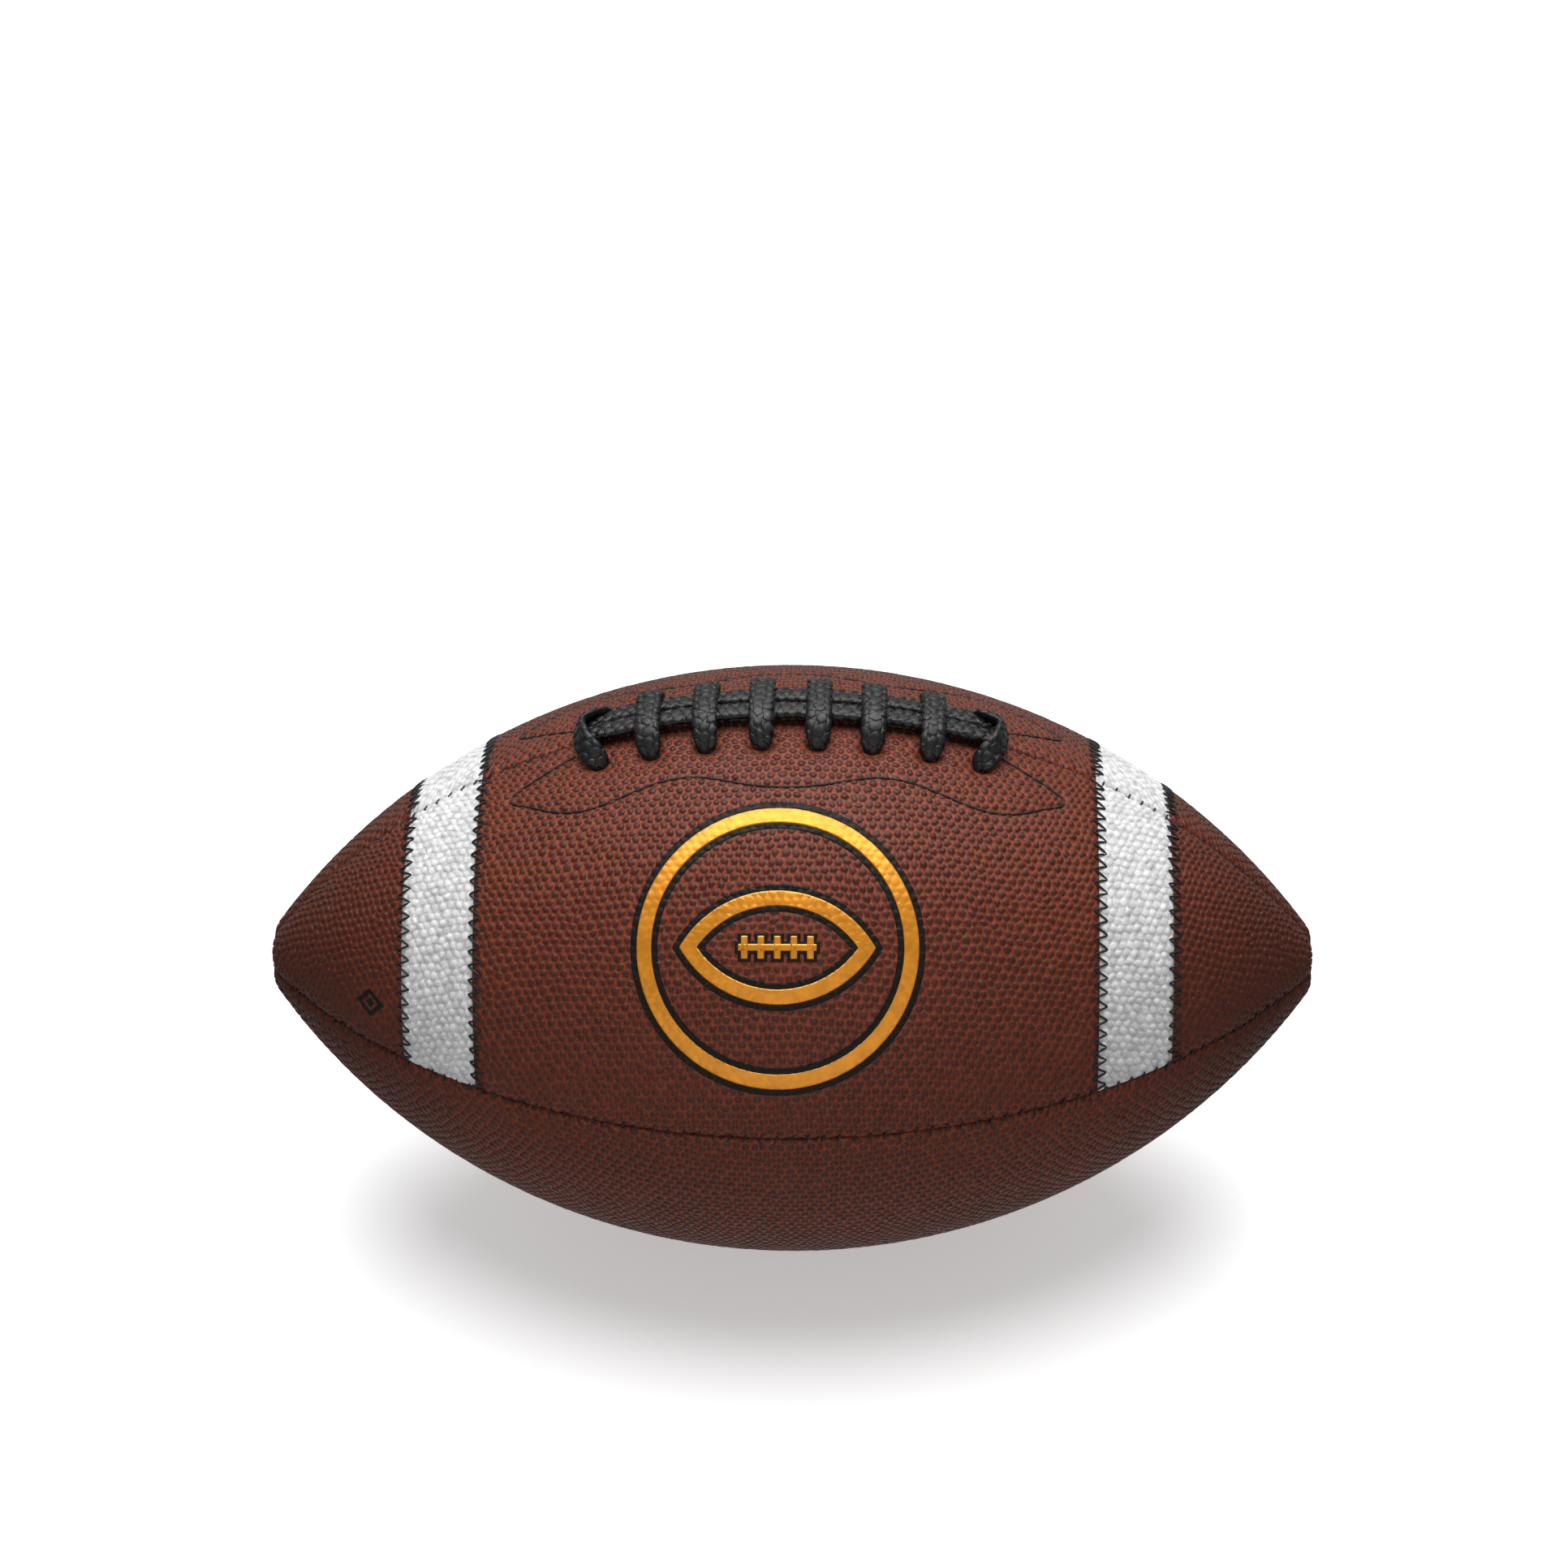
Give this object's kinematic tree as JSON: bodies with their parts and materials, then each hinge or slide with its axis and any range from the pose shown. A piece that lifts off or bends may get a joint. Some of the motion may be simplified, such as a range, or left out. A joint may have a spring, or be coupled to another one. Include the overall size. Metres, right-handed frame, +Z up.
{
  "type": "american football",
  "caption": "Inflatable gridiron football with sewn pebbled panels over linings and a bladder, external lace, let-in stripes and a needle valve, to throw, kick or carry.",
  "frame": {"origin": "on the floor under the ball's centre, where the bottom seam rests", "axes": "+X along the long axis, +Z up through the lace seam, and the front upper panel with the emblem towards -Y"},
  "size_m": [0.282, 0.1584, 0.1628],
  "materials": {
    "cover": "pebbled satin",
    "stripe": "pebbled satin",
    "lace": "pebbled satin",
    "thread": "waxed",
    "lining": "woven, laminated",
    "facing": "matt",
    "bladder": "matt",
    "valve": "matt",
    "foil": "gold foil",
    "ink": "printed"
  },
  "bodies": {
    "root": {"front_upper_panel": "cover", "front_upper_lining": "lining", "front_lower_panel": "cover", "front_lower_lining": "lining", "rear_upper_panel": "cover", "rear_upper_lining": "lining", "rear_lower_panel": "cover", "rear_lower_lining": "lining", "front_lace_facing": "facing", "front_facing_stitching": "thread", "front_left_stripe": "stripe", "front_left_stripe_stitching": "thread", "front_right_stripe": "stripe", "front_right_stripe_stitching": "thread", "rear_lace_facing": "facing", "rear_facing_stitching": "thread", "rear_left_stripe": "stripe", "rear_left_stripe_stitching": "thread", "rear_right_stripe": "stripe", "rear_right_stripe_stitching": "thread", "lace_seam_thread": "thread", "front_seam_thread": "thread", "bottom_seam_thread": "thread", "rear_seam_thread": "thread", "lace_tongue": "facing", "lace": "lace", "bladder": "bladder", "valve_housing": "valve", "valve_plug": "valve", "emblem_foil": "foil", "emblem_outline": "ink", "nose_mark": "ink"}
  },
  "joints": []
}
